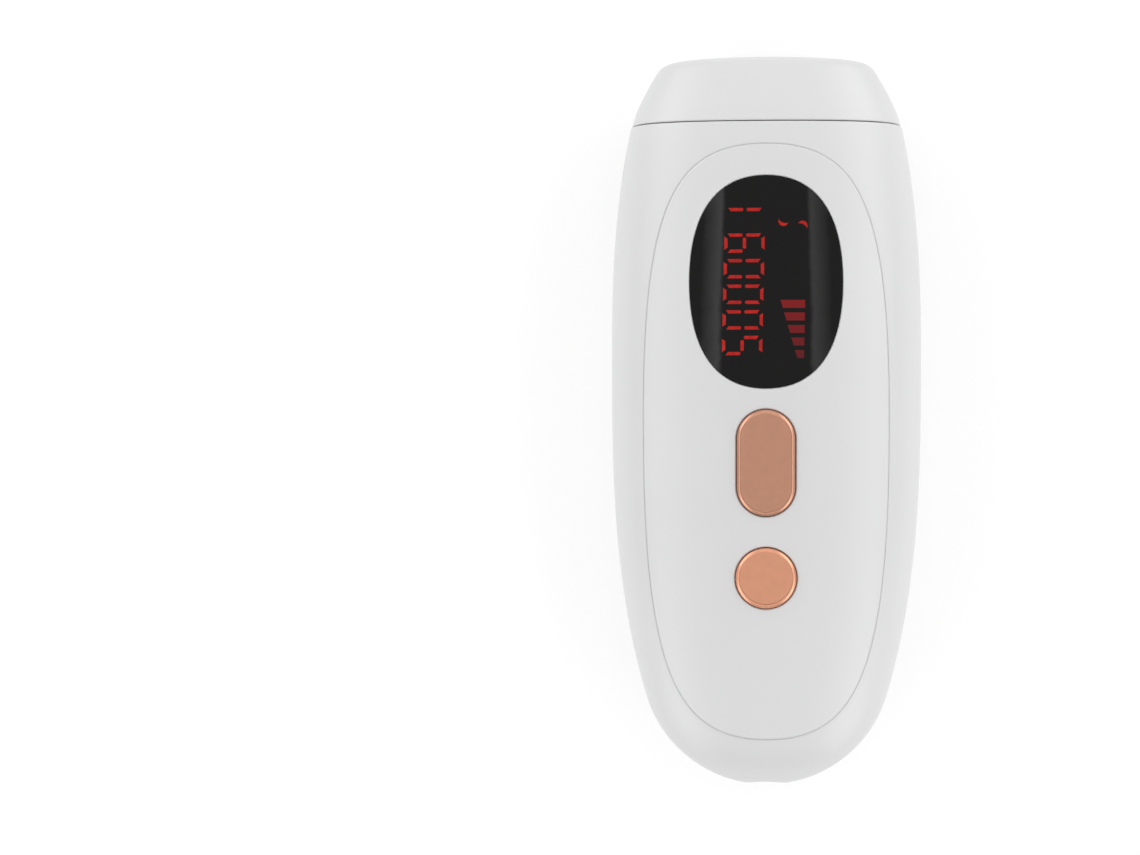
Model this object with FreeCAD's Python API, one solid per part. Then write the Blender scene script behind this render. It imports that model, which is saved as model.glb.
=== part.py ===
"""Hand-held IPL hair remover with a pull-off lamp head, a counter display and two sprung buttons.

Frame: the device lies on its back. +Z is up through the button face, +Y runs to the lamp head and the
origin is under the middle of its box, on the surface that it lies on. All sizes are in millimetres.
A station is a distance from the tail along +Y, so y = station - LENGTH / 2.
"""

import FreeCAD, Part
import math
import os
from collections import namedtuple

from FreeCAD import Rotation, Vector

# ---------------------------------------------------------------- driving dimensions
LENGTH = 180.0
HALF_LENGTH = LENGTH / 2
MID_Z = 22.0  # height of the widest line of every cross-section
PARTING_Z = 20.0  # the front and rear shells meet here
SEAM = 163.65  # station where the lamp head meets the body
SEAM_GAP = 0.2
TIP = 0.1  # station of the small flat at the tail
WALL = 2.0
REAR_EXTRA = 0.6  # the rear wall is thicker, because the resting flat cuts into it

# How a half-size of the body grows from the tail: a round nose, a flank, then a neck up to the seam.
Growth = namedtuple("Growth", "nose_radius nose_end full full_at at_seam neck_power")
WIDTH = Growth(31.3, 22.5, 38.5, 108.0, 33.7, 2.5)
FRONT = Growth(17.0, 13.0, 23.5, 111.0, 21.5, 2.0)
REAR = Growth(14.0, 10.0, 22.8, 95.0, 19.5, 2.2)
BODY_SECTIONS = 18

# How a half-size of the lamp head shrinks from the seam to the end.
Taper = namedtuple("Taper", "at_seam loss power")
HEAD_LENGTH = LENGTH - SEAM
HEAD_WIDTH = Taper(33.5, 8.0, 1.35)
HEAD_FRONT = Taper(21.3, 4.0, 1.25)
HEAD_REAR = Taper(19.3, 5.4, 1.2)
HEAD_DOME_RADIUS = 400.0
HEAD_EDGE_RADIUS = 4.0
HEAD_END_INSIDE = 87.0  # y of the flat inner face of the end wall

# Fullness of a quarter of a cross-section: 0.55 is an ellipse, 1 is a square corner.
FRONT_SIDE, FRONT_TOP = 0.66, 0.78
REAR_SIDE, REAR_TOP = 0.60, 0.66

# The raised panel on the button face.
PANEL_STEP = 0.35
PANEL_HALF_WIDTH = 29.8
PANEL_CENTRE_Y = 1.0
PANEL_UP, PANEL_DOWN = 67.0, 78.3
PANEL_FULL = 0.77
PANEL_CUT_Z = 28.0  # the prism of its outline starts here
PANEL_EDGE = 0.3  # radius of the panel's edge
GROOVE_WIDTH, GROOVE_DEPTH = 0.3, 0.12  # round the panel
SEAM_ROUND = 0.35  # radius of both edges at the seam
OPENING_CHAMFER = 0.25

# Display.
LENS_Y = 34.4
LENS_HALF = (18.55, 25.85)
LENS_FULL = 0.65  # an ellipse would be 0.55
LENS_GAP = 0.1
LENS_SKIN = 1.75
LENS_LEDGE = 1.9  # width of the ledge that the lens is glued to
LEDGE_SKIN = 3.6
DISPLAY_SIZE = (32.6, 42.0, 5.2)

# User-interface board.
UI_Z, UI_THICK = 32.6, 1.6
UI_TOP = UI_Z + UI_THICK
UI_HALF_WIDTH = 23.5
UI_Y = (-55.0, 56.0)
UI_POSTS = [(-20.5, 5.0), (20.5, 5.0), (-20.5, 52.0), (20.5, 52.0), (-15.0, -50.0), (15.0, -50.0)]

# Buttons: centre y, half-length past the round ends, radius, tilt about X in degrees.
Button = namedtuple("Button", "y straight radius tilt")
FLASH = Button(-9.6, 5.85, 7.1, -0.9)
POWER = Button(-37.65, 0.0, 7.42, -3.7)
BUTTON_GAP = 0.2
BUTTON_PROUD = 0.75
BUTTON_EDGE = 1.0  # radius of its rounded rim
FLANGE_OVER = 1.1
SWITCH_SIZE, SWITCH_HEIGHT = 6.2, 3.4
PLUNGER_RADIUS, PLUNGER_TOP = 1.6, 5.0  # top is above the board

# Main board.
BOARD_Z, BOARD_THICK = 9.4, 1.6
BOARD_TOP = BOARD_Z + BOARD_THICK
BOARD_HALF_WIDTH = 24.0
BOARD_Y = (-69.0, 13.5)
BOARD_POSTS = [(-8.0, -64.5), (8.0, -64.5), (-20.0, 8.5), (20.0, 8.5)]

CANS_X, CAN_RADIUS, CAN_Y = (-10.6, 10.6), 10.0, (-60.0, -20.0)  # flash capacitors
CAN_Z = BOARD_TOP + 0.2 + CAN_RADIUS
TRANSFORMER = (-11.5, -4.2)
HEATSINK = (6.0, -7.0)
TRIGGER = (14.0, 5.0)
SMALL_CAN = (20.0, -11.0)
TERMINALS_X = (-5.5, 0.0, 5.5)
FUSE_Y = -64.9
RIBBON_Y, PLUG_TALL = -17.6, 3.0

# Fan.
FAN_Y, FAN_SIZE, FAN_THICK, FAN_Z = 35.5, 40.0, 10.0, 6.1
FAN_HOLE_PITCH = 32.0
FAN_BORE, FAN_HUB = 18.8, 8.6
FAN_BLADES = 7

# Lamp window, lamp and the plug of the head.
WINDOW_Z = 23.5
WINDOW_HALF = (17.0, 6.5)
BEZEL_HALF = (20.0, 9.5)
BEZEL_FRONT = 89.2
HEAD_BASE = (74.2, 76.2)  # y of both faces of the plate across the head's back
REFLECTOR = (76.4, 84.8)  # y of the outside of its back and of its mouth
GLASS_HALF, GLASS_Y = (18.4, 7.9), (84.9, 86.4)
CARRIER_HALF, CARRIER_BACK = (22.0, 11.2), 83.2
LAMP_Y, LAMP_RADIUS, LAMP_HALF = 80.0, 2.75, 21.5
PLUG_HALF = (25.5, 13.5, 12.5)  # half-width, above and below the middle
PLUG_WALL, PLUG_CLEARANCE, PLUG_DEPTH = 1.6, 0.3, 12.8
DOCK_BACK = 58.0
CONTACTS_X, CONTACT_Z = (-14.0, 0.0, 14.0), 29.0

# Supply socket at the tail, for a plug of 5.5 x 2.1 mm.
JACK_FACE = 4.6  # station of the socket's face
JACK_LENGTH = 14.0
JACK_HALF = (4.5, 5.5)
JACK_BORE, JACK_PIN, JACK_DEPTH = 3.15, 1.05, 9.5
COLLAR_BORE, COLLAR_RADIUS = 5.2, 6.0
COLLAR_FACE = 1.5  # station of the ring's front, just inside the shell's surface
TAIL_BOSS_RADIUS, TAIL_BOSS_END = 8.5, 7.5

# Screws that hold the two shells together.
HOUSING_SCREWS = [(-28.5, 38.0), (28.5, 38.0), (-25.0, -54.0), (25.0, -54.0)]
SCREW_SEAT_Z = 12.0

LABEL_Y, LABEL_SIZE, LABEL_Z = -6.0, (22.0, 34.0), (0.05, 0.25)
BOSS_RADIUS, TUBE_RADIUS = 3.0, 4.0  # in the front shell, and in the rear shell round a screw
UI_POST_RADIUS, BOARD_POST_RADIUS, FAN_POST_RADIUS = 2.5, 2.4, 3.0

UP = Vector(0, 0, 1)
OUT = "parts"
FAR = 200.0
FULL_HEIGHT = (0, 60)  # below and above everything


# ---------------------------------------------------------------- small helpers
def block(x, y, z):
    """A box between two values of each coordinate."""
    return Part.makeBox(x[1] - x[0], y[1] - y[0], z[1] - z[0], Vector(x[0], y[0], z[0]))


def centred(cx, cy, size_x, size_y, z):
    """A box centred on cx, cy in plan, between two heights."""
    return block((cx - size_x / 2, cx + size_x / 2), (cy - size_y / 2, cy + size_y / 2), z)


def post(x, y, radius, z0, z1):
    return Part.makeCylinder(radius, z1 - z0, Vector(x, y, z0))


def rod(radius, start, end):
    a, b = Vector(*start), Vector(*end)
    return Part.makeCylinder(radius, (b - a).Length, a, b - a)


def union(shapes):
    shapes = list(shapes)
    return shapes[0].fuse(shapes[1:]) if len(shapes) > 1 else shapes[0]


def quarter(p0, p1, p2, p3):
    curve = Part.BezierCurve()
    curve.setPoles([p0, p1, p2, p3])
    return curve.toShape()


def ring_of_quarters(points, full):
    """A closed smooth wire through four extreme points: right, top, left, bottom.

    full holds, for each point, how far its handles reach towards the neighbouring corners of the box.
    """
    right, top, left, bottom = points
    centre = (right + left) / 2
    (side_up, cap_up), (side_down, cap_down) = full
    corners = [(right, top, side_up, cap_up), (top, left, cap_up, side_up)]
    corners += [(left, bottom, side_down, cap_down), (bottom, right, cap_down, side_down)]
    edges = []
    for start, end, reach_start, reach_end in corners:
        first_handle = start + (end - centre) * reach_start
        second_handle = end + (start - centre) * reach_end
        edges.append(quarter(start, first_handle, second_handle, end))
    return Part.Wire(edges)


def oval(half_x, up, down, centre_y, z, full_up, full_down):
    """A flat egg-shaped wire at height z."""
    points = [Vector(half_x, centre_y, z), Vector(0, centre_y + up, z)]
    points += [Vector(-half_x, centre_y, z), Vector(0, centre_y - down, z)]
    return ring_of_quarters(points, (full_up, full_down))


def upright(wire, height):
    return Part.Face(wire).extrude(Vector(0, 0, height))


def lens_prism(grow=0.0, height=40.0):
    """The prism above the parting plane whose plan is the lens's outline, grown by a little."""
    full = (LENS_FULL, LENS_FULL)
    half_x, half_y = (half + grow for half in LENS_HALF)
    return upright(oval(half_x, half_y, half_y, LENS_Y, PARTING_Z, full, full), height)


def stadium(straight, radius, z0, height):
    """A prism with round ends, long along Y, centred on the Z axis."""
    if straight == 0:
        return Part.makeCylinder(radius, height, Vector(0, 0, z0))
    middle = block((-radius, radius), (-straight, straight), (z0, z0 + height))
    ends = [post(0, y, radius, z0, z0 + height) for y in (-straight, straight)]
    return union([middle] + ends).removeSplitter()


def bent_wire(points, radius, bend):
    """A round wire along straight runs joined by tangent arcs."""
    points = [Vector(*p) for p in points]
    edges = []
    cursor = points[0]
    for before, corner, after in zip(points, points[1:], points[2:]):
        back, ahead = (before - corner).normalize(), (after - corner).normalize()
        half = back.getAngle(ahead) / 2
        reach = bend / math.tan(half)
        start, end = corner + back * reach, corner + ahead * reach
        inward = (back + ahead).normalize()
        middle = corner + inward * (bend / math.sin(half) - bend)
        edges.append(Part.LineSegment(cursor, start).toShape())
        edges.append(Part.Arc(start, middle, end).toShape())
        cursor = end
    edges.append(Part.LineSegment(cursor, points[-1]).toShape())
    path = Part.Wire(edges)
    along = points[1] - points[0]
    profile = Part.Wire(Part.makeCircle(radius, points[0], along))
    return path.makePipeShell([profile], True, True)


# ---------------------------------------------------------------- outer and inner surfaces
def section(y, half_width, front, rear, front_full=(FRONT_SIDE, FRONT_TOP), rear_full=(REAR_SIDE, REAR_TOP)):
    """The closed cross-section at y."""
    points = [Vector(half_width, y, MID_Z), Vector(0, y, MID_Z + front)]
    points += [Vector(-half_width, y, MID_Z), Vector(0, y, MID_Z - rear)]
    return ring_of_quarters(points, (front_full, rear_full))


def body_half(rule, station, skin=0.0):
    """A half-size of the body at a station, measured to a surface that lies skin inside the outer one."""
    full = rule.full - skin
    if station >= rule.full_at:
        share = (station - rule.full_at) / (SEAM - rule.full_at)
        return full - (rule.full - rule.at_seam) * share**rule.neck_power
    radius = rule.nose_radius - skin
    if station <= rule.nose_end:
        return math.sqrt(radius**2 - (rule.nose_radius - station) ** 2)
    nose = math.sqrt(radius**2 - (rule.nose_radius - rule.nose_end) ** 2)
    slope = (rule.nose_radius - rule.nose_end) / nose
    run = rule.full_at - rule.nose_end
    power = slope * run / (full - nose)
    return full - (full - nose) * ((rule.full_at - station) / run) ** power


def body_envelope(skin=0.0):
    """The solid inside a surface that lies skin under the outside of the body, from the tail to the seam."""
    rear_skin = skin + REAR_EXTRA if skin else 0.0
    first = TIP if skin == 0 else rear_skin + TIP
    wires = []
    for i in range(BODY_SECTIONS + 1):
        station = first + (SEAM - first) * (i / BODY_SECTIONS) ** 2
        sizes = [body_half(r, station, s) for r, s in ((WIDTH, skin), (FRONT, skin), (REAR, rear_skin))]
        wires.append(section(station - HALF_LENGTH, *sizes))
    return Part.makeLoft(wires, True, False)


def head_envelope(skin=0.0):
    """The solid inside a surface that lies skin under the outside of the lamp head."""
    wires = []
    start = SEAM + SEAM_GAP
    for i in range(6):
        station = start + (HEAD_LENGTH + 2 - SEAM_GAP) * i / 5
        share = (station - SEAM) / HEAD_LENGTH
        sizes = [t.at_seam - t.loss * share**t.power - skin for t in (HEAD_WIDTH, HEAD_FRONT, HEAD_REAR)]
        wires.append(section(station - HALF_LENGTH, *sizes))
    return Part.makeLoft(wires, True, False)


def squircle(half, y0, y1):
    """A rounded prism along Y whose shape echoes the body's cross-section."""
    wire = section(y0, *half, (0.72, 0.72), (0.72, 0.72))
    return Part.Face(wire).extrude(Vector(0, y1 - y0, 0))


def round_mouth(body, station):
    """Rounds the edges of the flat end of an envelope at the seam."""
    y = station - HALF_LENGTH
    edges = [e for e in body.Edges if all(abs(p.y - y) < 1e-3 for p in e.discretize(5))]
    return body.makeFillet(SEAM_ROUND, edges)


OUTER = round_mouth(body_envelope(), SEAM)
INNER = body_envelope(WALL)
BARELY_IN = body_envelope(WALL - 0.1)
ABOVE = block((-FAR, FAR), (-FAR, FAR), (PARTING_Z, FAR))
BELOW = block((-FAR, FAR), (-FAR, FAR), (0, PARTING_Z))


def surface_z(y, skin=0.0):
    """Height of the front surface on the centre line."""
    return MID_Z + body_half(FRONT, y + HALF_LENGTH, skin)


# ---------------------------------------------------------------- housing
def tail_boss():
    """Solid material round the supply socket, inside the tail."""
    y0 = -HALF_LENGTH
    boss = rod(TAIL_BOSS_RADIUS, (0, y0, MID_Z), (0, y0 + TAIL_BOSS_END, MID_Z)).common(OUTER)
    hole = rod(COLLAR_RADIUS + 0.05, (0, y0 - 1, MID_Z), (0, y0 + JACK_FACE, MID_Z))
    pocket = block(
        (-JACK_HALF[0] - 0.1, JACK_HALF[0] + 0.1),
        (y0 + JACK_FACE - 0.05, y0 + JACK_FACE + JACK_LENGTH),
        (MID_Z - JACK_HALF[1] - 0.1, MID_Z + JACK_HALF[1] + 0.1),
    )
    return boss, hole.fuse(pocket)


def egg_prism(grow=0.0):
    """The prism whose plan is the panel's outline, grown by a little."""
    full = (PANEL_FULL, PANEL_FULL)
    up, down = PANEL_UP + grow, PANEL_DOWN + grow
    wire = oval(PANEL_HALF_WIDTH + grow, up, down, PANEL_CENTRE_Y, PANEL_CUT_Z, full, full)
    return upright(wire, 40.0)


def raised(shape, height):
    moved = shape.copy()
    moved.translate(Vector(0, 0, height))
    return moved


PANEL_SURFACE = raised(OUTER, PANEL_STEP)


def is_upright(face):
    """True for a wall that stands along Z."""
    u0, u1, v0, v1 = face.ParameterRange
    return abs(face.normalAt((u0 + u1) / 2, (v0 + v1) / 2).z) < 0.1


def top_rims(shape):
    """Edges between an upright wall and the panel's surface."""
    rims = []
    for edge in shape.Edges:
        walls = [is_upright(face) for face in shape.ancestorsOfType(edge, Part.Face)]
        point = edge.discretize(3)[1]
        if sorted(walls) == [False, True] and point.z > UI_TOP:
            if PANEL_SURFACE.Shells[0].distToShape(Part.Vertex(point))[0] < 0.02:
                rims.append(edge)
    return rims


def panel():
    """The raised panel: the outer surface lifted a little inside an egg-shaped outline, with a round edge.

    Its openings are cut here, so that their rims can be broken while the solid is still simple.
    """
    pillar = egg_prism().common(PANEL_SURFACE)
    pillar = pillar.makeFillet(PANEL_EDGE, top_rims(pillar))
    for opening in (lens_prism(LENS_GAP), button_opening(FLASH), button_opening(POWER)):
        pillar = pillar.cut(opening)
        pillar = pillar.makeChamfer(OPENING_CHAMFER, top_rims(pillar))
    return pillar


def panel_groove():
    """A shallow channel round the panel."""
    ring = egg_prism(GROOVE_WIDTH).cut(egg_prism())
    return ring.cut(raised(OUTER, -GROOVE_DEPTH))


def lens_ledge():
    """A ring under the display opening that carries the lens."""
    reach = 3.0
    outline = lens_prism(reach)
    return outline.common(BARELY_IN).cut(body_envelope(LEDGE_SKIN))


def button_frame(button):
    """Placement from a button's own frame, with its zero on the panel's surface, to the row frame."""
    height = surface_z(button.y) + PANEL_STEP
    return FreeCAD.Placement(Vector(0, button.y, height), Rotation(Vector(1, 0, 0), -button.tilt))


def button_opening(button):
    hole = stadium(button.straight, button.radius + BUTTON_GAP, -6.0, 12.0)
    hole.Placement = button_frame(button)
    return hole


def front_shell():
    skin = OUTER.cut(panel_groove()).fuse(panel()).cut(INNER).common(ABOVE)
    boss, socket = tail_boss()
    shell = union([skin, boss.common(ABOVE), lens_ledge()])
    bosses = [post(x, y, BOSS_RADIUS, PARTING_Z, FULL_HEIGHT[1]).common(BARELY_IN) for x, y in HOUSING_SCREWS]
    posts = [post(x, y, UI_POST_RADIUS, UI_TOP, FULL_HEIGHT[1]).common(BARELY_IN) for x, y in UI_POSTS]
    shell = union([shell] + bosses + posts)
    pocket = lens_prism(LENS_GAP).cut(body_envelope(LENS_SKIN))
    window = lens_prism(-LENS_LEDGE)
    pilots = [post(x, y, 1.1, PARTING_Z - 1, 32) for x, y in HOUSING_SCREWS]
    pilots += [post(x, y, 0.9, UI_TOP - 1, UI_TOP + 5) for x, y in UI_POSTS]
    cuts = [pocket, window, socket, button_opening(FLASH), button_opening(POWER)] + pilots
    return shell.cut(cuts)


def grille():
    """Slots over the fan, shortened to a round patch."""
    pitch, width, radius = 4.0, 2.0, 17.5
    slots = []
    for i in range(-4, 5):
        offset = i * pitch
        reach = math.sqrt(radius**2 - offset**2) - 1
        slots.append(centred(0, FAN_Y + offset, 2 * reach, width, (-2, 8)))
    return slots


def outlets():
    """Two groups of air outlets beside the dock."""
    return [centred(side * 28.0, 49.0 + 4.0 * i, 7.0, 1.8, (0, 18)) for side in (-1, 1) for i in range(5)]


def rating_label_block(grow, bottom):
    """The label's outline, grown by a little for its recess."""
    size_x, size_y = (size + 2 * grow for size in LABEL_SIZE)
    return centred(0, LABEL_Y, size_x, size_y, (bottom, LABEL_Z[1]))


def rear_shell():
    skin = OUTER.cut(INNER).common(BELOW)
    boss, socket = tail_boss()
    tubes = [post(x, y, TUBE_RADIUS, 0, PARTING_Z).common(BARELY_IN) for x, y in HOUSING_SCREWS]
    posts = [post(x, y, BOARD_POST_RADIUS, 0, BOARD_Z).common(BARELY_IN) for x, y in BOARD_POSTS]
    posts += [post(x, y, FAN_POST_RADIUS, 0, FAN_Z).common(BARELY_IN) for x, y in fan_corners()]
    shell = union([skin, boss.common(BELOW)] + tubes + posts)
    recesses = [post(x, y, 2.7, -1, SCREW_SEAT_Z) for x, y in HOUSING_SCREWS]
    recesses += [post(x, y, 1.45, 0, PARTING_Z + 1) for x, y in HOUSING_SCREWS]
    recesses += [post(x, y, 0.85, 5.0, BOARD_Z + 1) for x, y in BOARD_POSTS[2:]]
    recesses += [post(x, y, 0.85, 7.5, BOARD_Z + 1) for x, y in BOARD_POSTS[:2]]
    recesses += [post(x, y, 1.2, 3.2, FAN_Z + 1) for x, y in fan_corners()]
    label = rating_label_block(0.1, -1.0)
    return shell.cut(recesses + grille() + outlets() + [socket, label])


def housing_screws():
    """Four screws up through the rear shell, each with a cross slot in its head."""
    screws = []
    for x, y in HOUSING_SCREWS:
        shank = post(x, y, 1.05, SCREW_SEAT_Z - 1, 30)
        screw = post(x, y, 2.45, SCREW_SEAT_Z - 1.9, SCREW_SEAT_Z).fuse(shank)
        for wide, deep in ((2.6, 0.6), (0.6, 2.6)):
            screw = screw.cut(centred(x, y, wide, deep, (SCREW_SEAT_Z - 3, SCREW_SEAT_Z - 0.9)))
        screws.append(screw)
    return Part.makeCompound(screws)


def rating_label():
    return rating_label_block(0.0, LABEL_Z[0])


def small_screws(places, seat_z, down_to, head=1.9, shank=0.8):
    """Pan-head screws pointing down, seated at one height."""
    screws = []
    for x, y in places:
        screw = post(x, y, head, seat_z, seat_z + 1.3).fuse(post(x, y, shank, down_to, seat_z + 0.5))
        for wide, deep in ((2.2, 0.5), (0.5, 2.2)):
            screw = screw.cut(centred(x, y, wide, deep, (seat_z + 0.6, seat_z + 3)))
        screws.append(screw)
    return Part.makeCompound(screws)


# ---------------------------------------------------------------- display and buttons
def display_lens():
    surface = raised(OUTER, PANEL_STEP - 0.02)
    return lens_prism().common(surface).cut(body_envelope(LENS_SKIN))


def led_display():
    size_x, size_y, size_z = DISPLAY_SIZE
    return centred(0, LENS_Y, size_x, size_y, (UI_TOP, UI_TOP + size_z))


def ui_board():
    plate = block((-UI_HALF_WIDTH, UI_HALF_WIDTH), UI_Y, (UI_Z, UI_TOP)).common(body_envelope(3.0))
    holes = [post(x, y, 1.1, UI_Z - 1, UI_TOP + 1) for x, y in UI_POSTS]
    holes += [post(x, y, 3.4, UI_Z - 1, UI_TOP + 1) for x, y in HOUSING_SCREWS]
    return plate.cut(holes)


def ui_board_screws():
    """Screws from below, into the posts of the front shell."""
    screws = small_screws([(-x, y) for x, y in UI_POSTS], 0, -5.0, 1.9, 0.85)
    screws.rotate(Vector(0, 0, 0), Vector(0, 1, 0), 180)
    screws.translate(Vector(0, 0, UI_Z))
    return screws


def button_cap(button):
    """A cap with a rounded rim, a flange that stops it under the shell, and a stem that meets the plunger."""
    cap = stadium(button.straight, button.radius, -4.2, 4.2 + BUTTON_PROUD)
    rim = [e for e in cap.Edges if e.BoundBox.ZMin > BUTTON_PROUD - 1e-3]
    cap = cap.makeFillet(BUTTON_EDGE, rim)
    flange = stadium(button.straight, button.radius + FLANGE_OVER, -4.2, 1.2)
    hollow = stadium(button.straight, button.radius - 2.0, -5.0, 4.2)
    stem_down = surface_z(button.y) + PANEL_STEP - UI_TOP - PLUNGER_TOP
    stem = post(0, 0, 2.4, -stem_down, -0.5)
    cap = cap.fuse(flange).cut(hollow).fuse(stem)
    cap.Placement = button_frame(button)
    level = block((-FAR, FAR), (-FAR, FAR), (UI_TOP + PLUNGER_TOP + 0.02, FAR))
    return cap.common(level)


def switch_body(button):
    half = SWITCH_SIZE
    body = centred(0, button.y, half, half, (UI_TOP, UI_TOP + SWITCH_HEIGHT))
    return body.cut(post(0, button.y, PLUNGER_RADIUS + 0.2, UI_TOP + 1.0, UI_TOP + SWITCH_HEIGHT + 1))


def switch_plunger(button):
    return post(0, button.y, PLUNGER_RADIUS, UI_TOP + 1.8, UI_TOP + PLUNGER_TOP)


def ui_chip():
    return centred(10.5, -27.0, 9.0, 9.0, (UI_TOP, UI_TOP + 1.6))


def buzzer():
    can = post(-11.0, -27.0, 4.5, UI_TOP, UI_TOP + 3.5)
    return can.cut(post(-11.0, -27.0, 0.8, UI_TOP + 2, UI_TOP + 5))


# ---------------------------------------------------------------- main board
def main_board():
    plate = block((-BOARD_HALF_WIDTH, BOARD_HALF_WIDTH), BOARD_Y, (BOARD_Z, BOARD_TOP))
    plate = plate.common(body_envelope(WALL + 1.2))
    holes = [post(x, y, 1.0, BOARD_Z - 1, BOARD_TOP + 1) for x, y in BOARD_POSTS]
    holes += [post(x, y, 4.6, BOARD_Z - 1, BOARD_TOP + 1) for x, y in HOUSING_SCREWS]
    return plate.cut(holes)


def capacitor(x):
    """A flash capacitor lying along Y: an aluminium can in a sleeve, beaded near the end with the leads."""
    can = rod(CAN_RADIUS, (x, CAN_Y[0], CAN_Z), (x, CAN_Y[1], CAN_Z))
    bead = Part.makeTorus(CAN_RADIUS + 0.5, 1.2, Vector(x, CAN_Y[1] - 3.5, CAN_Z), Vector(0, 1, 0))
    return can.cut(bead)


def flash_capacitors():
    return Part.makeCompound([capacitor(x) for x in CANS_X])


def capacitor_leads():
    """Leads from each can's end face, bent down to the board."""
    wires = []
    bend_y = CAN_Y[1] + 2.4
    for x in CANS_X:
        for side in (-3.5, 3.5):
            route = [(x + side, CAN_Y[1], CAN_Z), (x + side, bend_y, CAN_Z), (x + side, bend_y, BOARD_TOP)]
            wires.append(bent_wire(route, 0.45, 1.0))
    return Part.makeCompound(wires)


def transformer_core():
    """Two E-cores closed round the bobbin: a frame with a centre leg."""
    x, y = TRANSFORMER
    frame = centred(x, y, 22, 16, (BOARD_TOP + 1.5, BOARD_TOP + 18.5))
    windows = [centred(x + side * 6.0, y, 5.0, 20, (BOARD_TOP + 4.5, BOARD_TOP + 15.5)) for side in (-1, 1)]
    return frame.cut(windows)


def transformer_winding():
    """The bobbin and its taped winding, in the core's windows."""
    x, y = TRANSFORMER
    coil = centred(x, y, 16.6, 21, (BOARD_TOP + 4.8, BOARD_TOP + 15.2))
    coil = coil.cut(centred(x, y, 7.4, 16.4, (BOARD_TOP, BOARD_TOP + 20)))
    corners = [(x + side * 5.6, y + end * 9.3) for side in (-1, 1) for end in (-1, 1)]
    feet = [centred(fx, fy, 3.5, 2.0, (BOARD_TOP, BOARD_TOP + 5.0)) for fx, fy in corners]
    return union([coil] + feet)


def power_heatsink():
    """A finned aluminium block."""
    x, y = HEATSINK
    base = centred(x, y, 9.0, 17.0, (BOARD_TOP, BOARD_TOP + 15))
    slot = (BOARD_TOP + 2, BOARD_TOP + 16)
    gaps = [centred(x - 1.5, y + offset, 7.0, 1.6, slot) for offset in (-6, -3, 0, 3, 6)]
    return base.cut(gaps)


def power_transistor():
    """A tab package clamped to the heatsink, with three legs."""
    x, y = HEATSINK
    case = block((x + 4.55, x + 9.0), (y - 5.0, y + 5.0), (BOARD_TOP + 3, BOARD_TOP + 13))
    leg_z = (BOARD_TOP, BOARD_TOP + 4)
    legs = [centred(x + 6.8, y + offset, 0.6, 0.9, leg_z) for offset in (-2.54, 0, 2.54)]
    return union([case] + legs)


def trigger_coil():
    """The small pulse transformer that fires the lamp, potted in a round case."""
    case = post(*TRIGGER, 3.9, BOARD_TOP, BOARD_TOP + 13)
    return case.cut(post(*TRIGGER, 1.4, BOARD_TOP + 11.5, BOARD_TOP + 14))


def filter_capacitor():
    can = post(*SMALL_CAN, 3.2, BOARD_TOP, BOARD_TOP + 12)
    score = centred(*SMALL_CAN, 4.0, 0.4, (BOARD_TOP + 11.7, BOARD_TOP + 13))
    return can.cut(score)


def controller_chip():
    return centred(19.5, -1.5, 7.0, 5.0, (BOARD_TOP, BOARD_TOP + 1.6))


def supply_fuse():
    """A glass fuse in two clips."""
    tube = rod(1.6, (4.5, FUSE_Y, BOARD_TOP + 3.0), (-4.5, FUSE_Y, BOARD_TOP + 3.0))
    clips = [centred(side * 3.4, FUSE_Y, 1.4, 4.4, (BOARD_TOP, BOARD_TOP + 4.0)) for side in (-1, 1)]
    return union([tube] + clips)


def lamp_terminal_block():
    case = block((-9.0, 9.0), (8.6, 13.3), (BOARD_TOP, BOARD_TOP + 9))
    entries = [rod(1.15, (x, 11.0, BOARD_TOP + 6), (x, 14.0, BOARD_TOP + 6)) for x in TERMINALS_X]
    heads = [post(x, 10.4, 1.3, BOARD_TOP + 8, BOARD_TOP + 10) for x in TERMINALS_X]
    return case.cut(entries + heads)


def ribbon_connectors():
    heights = ((BOARD_TOP, BOARD_TOP + PLUG_TALL), (UI_Z - PLUG_TALL, UI_Z))
    return Part.makeCompound([centred(0, RIBBON_Y, 4.0, 2.6, height) for height in heights])


def ribbon_cable():
    return centred(0, RIBBON_Y, 3.6, 0.6, (BOARD_TOP + PLUG_TALL, UI_Z - PLUG_TALL))


# ---------------------------------------------------------------- fan
def fan_corners():
    half = FAN_HOLE_PITCH / 2
    return [(sx * half, FAN_Y + sy * half) for sx in (-1, 1) for sy in (-1, 1)]


def fan_frame():
    """A square frame with a round duct, a motor plate on four struts and four screw holes."""
    top = FAN_Z + FAN_THICK
    frame = centred(0, FAN_Y, FAN_SIZE, FAN_SIZE, (FAN_Z, top))
    frame = frame.makeFillet(2.5, [e for e in frame.Edges if abs(e.tangentAt(e.FirstParameter).z) > 0.9])
    frame = frame.cut(post(0, FAN_Y, FAN_BORE, FAN_Z - 1, top + 1))
    plate = post(0, FAN_Y, FAN_HUB - 0.6, top - 1.2, top)
    struts = []
    for turn in (20, 110, 200, 290):
        strut = block((5.0, FAN_BORE + 0.8), (-0.7, 0.7), (top - 1.2, top))
        strut.rotate(Vector(0, 0, 0), UP, turn)
        strut.translate(Vector(0, FAN_Y, 0))
        struts.append(strut)
    frame = union([frame, plate] + struts)
    return frame.cut([post(x, y, 1.6, FAN_Z - 1, top + 1) for x, y in fan_corners()])


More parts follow.
